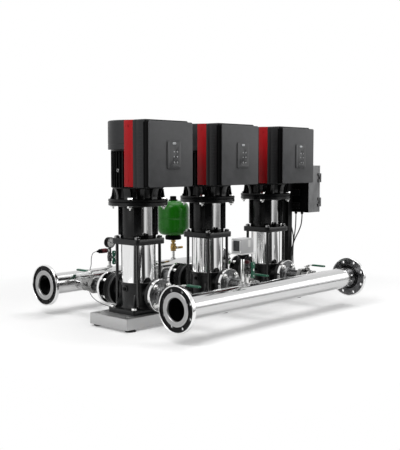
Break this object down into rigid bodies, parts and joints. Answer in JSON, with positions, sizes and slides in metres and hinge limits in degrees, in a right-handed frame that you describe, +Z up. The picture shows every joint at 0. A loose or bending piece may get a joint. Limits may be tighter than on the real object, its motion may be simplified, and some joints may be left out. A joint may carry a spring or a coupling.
{
  "type": "booster pump set",
  "caption": "Booster set of upright multistage pumps with converter motors between a suction and a discharge header, with ball and check valves, a diaphragm tank and a cabinet.",
  "frame": {"origin": "middle of the set's footprint, cables left out, on the floor under the feet", "axes": "+X along the row of pumps towards the cabinet, +Y from the suction header to the discharge header, +Z up"},
  "size_m": [1.6098, 1.2428, 1.027],
  "materials": {
    "brushed_sheet": "brushed stainless sheet",
    "black_rubber": "matte",
    "black_casting": "satin black coating",
    "polished_steel": "polished stainless",
    "inner_steel": "machined stainless",
    "bright_fastener": "bright zinc",
    "guard_sheet": "satin stainless sheet",
    "motor_black": "black coating",
    "fan_cover_grey": "satin dark grey",
    "red_plastic": "gloss red",
    "dark_grey_plastic": "satin dark grey",
    "panel_black": "gloss black",
    "button_grey": "soft grey keys",
    "brushed_pipe": "brushed stainless pipe",
    "zinc_flange": "grey zinc coating",
    "brass": "nickelled brass",
    "green_paint": "gloss green",
    "green_handle": "plastic-coated green",
    "gauge_black": "black",
    "grey_plastic": "light grey",
    "grey_paint": "grey",
    "cabinet_grey": "satin grey",
    "grey_sheath": "matte grey"
  },
  "bodies": {
    "pump_set": {"base_frame": "brushed_sheet", "machine_feet": "black_rubber", "pump_bases": "black_casting", "outer_sleeves": "polished_steel", "chamber_stacks": "inner_steel", "pump_heads": "black_casting", "stay_bolts": "bright_fastener", "motor_stools": "black_casting", "coupling_guards": "guard_sheet", "motor_housings": "motor_black", "fan_covers": "fan_cover_grey", "side_bands": "red_plastic", "converter_housings": "dark_grey_plastic", "front_covers": "dark_grey_plastic", "control_panels": "panel_black", "suction_header": "brushed_pipe", "discharge_header": "brushed_pipe", "pipe_flanges": "zinc_flange", "check_valve_bodies": "black_casting", "valve_bodies": "brass", "fasteners": "bright_fastener", "diaphragm_tank": "green_paint", "pressure_gauge": "gauge_black", "pressure_transmitter": "inner_steel", "pressure_switch": "grey_plastic", "cabinet_post": "grey_paint", "cabinet_body": "cabinet_grey", "glands_and_grommets": "black_rubber", "cabinet_cable_1": "black_rubber", "cabinet_cable_2": "black_rubber", "cabinet_cable_3": "black_rubber", "transmitter_cable": "grey_sheath"},
    "rotor_1": {"rotor_1": "inner_steel"},
    "rotor_2": {"rotor_2": "inner_steel"},
    "rotor_3": {"rotor_3": "inner_steel"},
    "button_1_1": {"button_1_1": "button_grey"},
    "button_1_2": {"button_1_2": "button_grey"},
    "button_1_3": {"button_1_3": "button_grey"},
    "button_1_4": {"button_1_4": "button_grey"},
    "button_2_1": {"button_2_1": "button_grey"},
    "button_2_2": {"button_2_2": "button_grey"},
    "button_2_3": {"button_2_3": "button_grey"},
    "button_2_4": {"button_2_4": "button_grey"},
    "button_3_1": {"button_3_1": "button_grey"},
    "button_3_2": {"button_3_2": "button_grey"},
    "button_3_3": {"button_3_3": "button_grey"},
    "button_3_4": {"button_3_4": "button_grey"},
    "check_poppet_1": {"check_poppet_1": "inner_steel"},
    "check_poppet_2": {"check_poppet_2": "inner_steel"},
    "check_poppet_3": {"check_poppet_3": "inner_steel"},
    "suction_lever_1": {"suction_lever_1": "green_handle"},
    "suction_lever_2": {"suction_lever_2": "green_handle"},
    "suction_lever_3": {"suction_lever_3": "green_handle"},
    "discharge_lever_1": {"discharge_lever_1": "green_handle"},
    "discharge_lever_2": {"discharge_lever_2": "green_handle"},
    "discharge_lever_3": {"discharge_lever_3": "green_handle"},
    "gauge_valve_handle": {"gauge_valve_handle": "green_handle"},
    "vent_valve_handle": {"vent_valve_handle": "green_handle"},
    "tank_valve_handle": {"tank_valve_handle": "brass"},
    "cabinet_door": {"cabinet_door": "cabinet_grey"}
  },
  "joints": [
    {"name": "pump_1_spin", "type": "hinge", "parent": "pump_set", "child": "rotor_1", "pos_m": [-0.57445, -0.0215, 0.525], "axis": [0, 0, 1], "continuous": true},
    {"name": "pump_2_spin", "type": "hinge", "parent": "pump_set", "child": "rotor_2", "pos_m": [-0.05445, -0.0215, 0.525], "axis": [0, 0, 1], "continuous": true},
    {"name": "pump_3_spin", "type": "hinge", "parent": "pump_set", "child": "rotor_3", "pos_m": [0.46555, -0.0215, 0.525], "axis": [0, 0, 1], "continuous": true},
    {"name": "suction_valve_1_turn", "type": "hinge", "parent": "pump_set", "child": "suction_lever_1", "pos_m": [-0.57445, -0.3285, 0.163], "axis": [0, 0, 1], "range_deg": [0, 90]},
    {"name": "discharge_valve_1_turn", "type": "hinge", "parent": "pump_set", "child": "discharge_lever_1", "pos_m": [-0.57445, 0.3535, 0.163], "axis": [0, 0, 1], "range_deg": [0, 90]},
    {"name": "check_1_lift", "type": "slide", "parent": "pump_set", "child": "check_poppet_1", "axis": [0, 1, 0], "range_m": [0, 0.012], "stiffness_N_per_m": 400, "springref_m": -0.005},
    {"name": "suction_valve_2_turn", "type": "hinge", "parent": "pump_set", "child": "suction_lever_2", "pos_m": [-0.05445, -0.3285, 0.163], "axis": [0, 0, 1], "range_deg": [0, 90]},
    {"name": "discharge_valve_2_turn", "type": "hinge", "parent": "pump_set", "child": "discharge_lever_2", "pos_m": [-0.05445, 0.3535, 0.163], "axis": [0, 0, 1], "range_deg": [0, 90]},
    {"name": "check_2_lift", "type": "slide", "parent": "pump_set", "child": "check_poppet_2", "axis": [0, 1, 0], "range_m": [0, 0.012], "stiffness_N_per_m": 400, "springref_m": -0.005},
    {"name": "suction_valve_3_turn", "type": "hinge", "parent": "pump_set", "child": "suction_lever_3", "pos_m": [0.46555, -0.3285, 0.163], "axis": [0, 0, 1], "range_deg": [0, 90]},
    {"name": "discharge_valve_3_turn", "type": "hinge", "parent": "pump_set", "child": "discharge_lever_3", "pos_m": [0.46555, 0.3535, 0.163], "axis": [0, 0, 1], "range_deg": [0, 90]},
    {"name": "check_3_lift", "type": "slide", "parent": "pump_set", "child": "check_poppet_3", "axis": [0, 1, 0], "range_m": [0, 0.012], "stiffness_N_per_m": 400, "springref_m": -0.005},
    {"name": "button_1_1_press", "type": "slide", "parent": "pump_set", "child": "button_1_1", "axis": [0, 1, 0], "range_m": [0, 0.0008], "stiffness_N_per_m": 1000},
    {"name": "button_1_2_press", "type": "slide", "parent": "pump_set", "child": "button_1_2", "axis": [0, 1, 0], "range_m": [0, 0.0008], "stiffness_N_per_m": 1000},
    {"name": "button_1_3_press", "type": "slide", "parent": "pump_set", "child": "button_1_3", "axis": [0, 1, 0], "range_m": [0, 0.0008], "stiffness_N_per_m": 1000},
    {"name": "button_1_4_press", "type": "slide", "parent": "pump_set", "child": "button_1_4", "axis": [0, 1, 0], "range_m": [0, 0.0008], "stiffness_N_per_m": 1000},
    {"name": "button_2_1_press", "type": "slide", "parent": "pump_set", "child": "button_2_1", "axis": [0, 1, 0], "range_m": [0, 0.0008], "stiffness_N_per_m": 1000},
    {"name": "button_2_2_press", "type": "slide", "parent": "pump_set", "child": "button_2_2", "axis": [0, 1, 0], "range_m": [0, 0.0008], "stiffness_N_per_m": 1000},
    {"name": "button_2_3_press", "type": "slide", "parent": "pump_set", "child": "button_2_3", "axis": [0, 1, 0], "range_m": [0, 0.0008], "stiffness_N_per_m": 1000},
    {"name": "button_2_4_press", "type": "slide", "parent": "pump_set", "child": "button_2_4", "axis": [0, 1, 0], "range_m": [0, 0.0008], "stiffness_N_per_m": 1000},
    {"name": "button_3_1_press", "type": "slide", "parent": "pump_set", "child": "button_3_1", "axis": [0, 1, 0], "range_m": [0, 0.0008], "stiffness_N_per_m": 1000},
    {"name": "button_3_2_press", "type": "slide", "parent": "pump_set", "child": "button_3_2", "axis": [0, 1, 0], "range_m": [0, 0.0008], "stiffness_N_per_m": 1000},
    {"name": "button_3_3_press", "type": "slide", "parent": "pump_set", "child": "button_3_3", "axis": [0, 1, 0], "range_m": [0, 0.0008], "stiffness_N_per_m": 1000},
    {"name": "button_3_4_press", "type": "slide", "parent": "pump_set", "child": "button_3_4", "axis": [0, 1, 0], "range_m": [0, 0.0008], "stiffness_N_per_m": 1000},
    {"name": "gauge_valve_turn", "type": "hinge", "parent": "pump_set", "child": "gauge_valve_handle", "pos_m": [-0.30845, 0.5115, 0.27615], "axis": [0, -1, 0], "range_deg": [0, 90]},
    {"name": "vent_valve_turn", "type": "hinge", "parent": "pump_set", "child": "vent_valve_handle", "pos_m": [-0.30345, -0.5115, 0.29715], "axis": [0, -1, 0], "range_deg": [0, 90]},
    {"name": "tank_valve_turn", "type": "hinge", "parent": "pump_set", "child": "tank_valve_handle", "pos_m": [0.21355, 0.5115, 0.29215], "axis": [0, 1, 0], "range_deg": [0, 90]},
    {"name": "door_hinge", "type": "hinge", "parent": "pump_set", "child": "cabinet_door", "pos_m": [0.79245, -0.1895, 0.6595], "axis": [0, 0, -1], "range_deg": [0, 105]}
  ]
}
